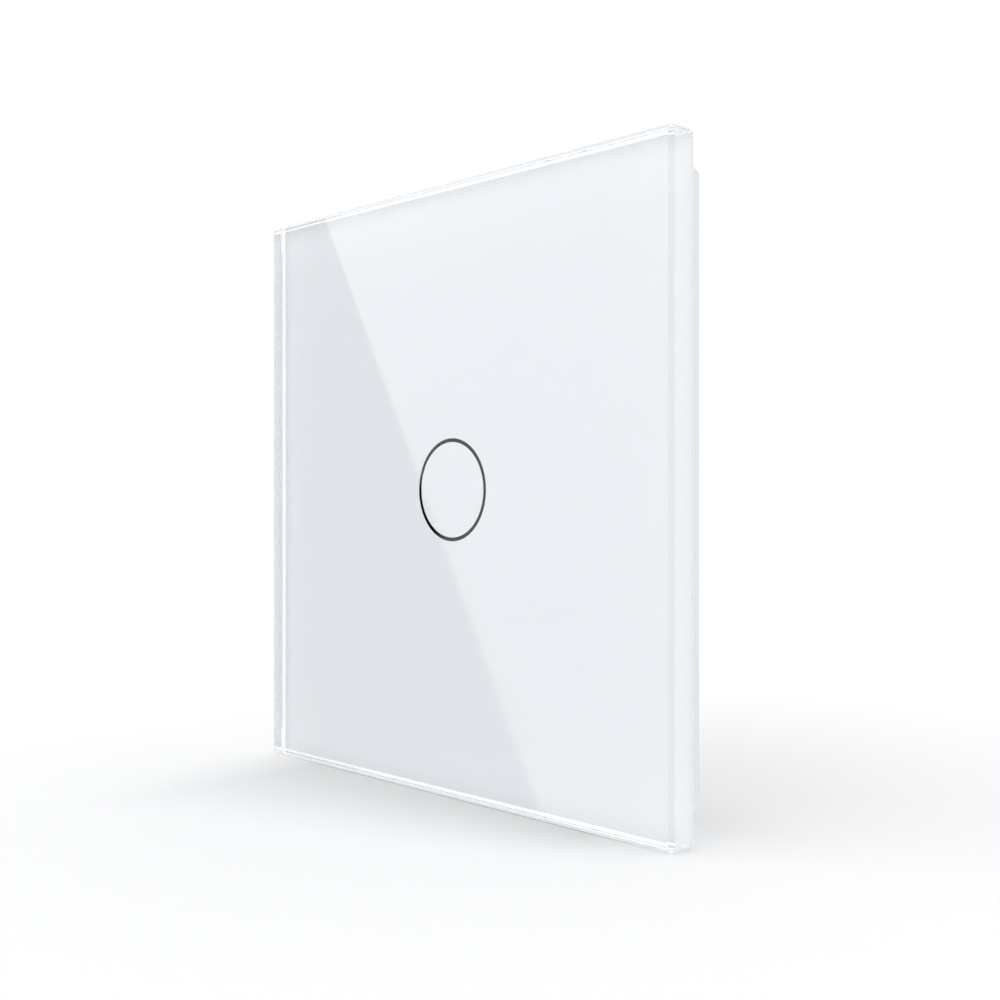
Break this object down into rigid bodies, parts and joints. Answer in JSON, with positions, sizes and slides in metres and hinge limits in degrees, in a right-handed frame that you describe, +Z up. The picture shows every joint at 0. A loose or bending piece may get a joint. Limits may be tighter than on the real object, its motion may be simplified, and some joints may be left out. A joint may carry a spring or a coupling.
{
  "type": "touch switch panel",
  "caption": "Square glass touch switch front with a ring-shaped touch mark, bonded to a moulded frame that snaps onto a slotted steel yoke with its touch sensor.",
  "frame": {"origin": "centre of the wall plane, which the back of the yoke and of the panel frame lies in, midway between the two wall-box screw slots", "axes": "+Y into the wall, the glass faces -Y, +Z up, +X to the right as seen by the user"},
  "size_m": [0.08, 0.0163, 0.08],
  "materials": {
    "clear_glass": "polished, ground edges",
    "white_print": "screen print seen through the glass",
    "smoked_print": "smoked translucent print",
    "opal_plastic": "opal, translucent",
    "foam_tape": "closed-cell foam",
    "white_moulding": "fine spark-eroded texture",
    "plated_steel": "zinc plated",
    "grey_moulding": "satin moulded",
    "board_laminate": "solder mask",
    "spring_steel": "tinned spring wire",
    "black_foam": "open-cell foam",
    "led_resin": "clear resin on a white base",
    "chip_resin": "moulded epoxy",
    "tinned_copper": "matt tin",
    "resistor_ceramic": "glazed ceramic",
    "capacitor_ceramic": "fired ceramic",
    "tantalum_resin": "moulded resin",
    "header_plastic": "glass-filled moulding",
    "gilt_brass": "gold flashed"
  },
  "bodies": {
    "wall_unit": {"mounting_yoke": "plated_steel", "sensor_tray": "grey_moulding", "tray_cover": "grey_moulding", "tray_screws": "plated_steel", "sensor_board": "board_laminate", "touch_spring": "spring_steel", "light_guide": "opal_plastic", "light_baffle": "black_foam", "indicator_leds": "led_resin", "touch_controller": "chip_resin", "voltage_regulator": "chip_resin", "component_leads": "tinned_copper", "chip_resistors": "resistor_ceramic", "chip_capacitors": "capacitor_ceramic", "bulk_capacitor": "tantalum_resin", "header_base": "header_plastic", "header_pins": "gilt_brass"},
    "glass_panel": {"glass_plate": "clear_glass", "white_backing": "white_print", "ring_print": "smoked_print", "ring_diffuser": "opal_plastic", "bonding_tape": "foam_tape", "panel_frame": "white_moulding"}
  },
  "joints": [
    {"name": "panel_pull_off", "type": "slide", "parent": "wall_unit", "child": "glass_panel", "axis": [0, -1, 0], "range_m": [0, 0.02]}
  ]
}
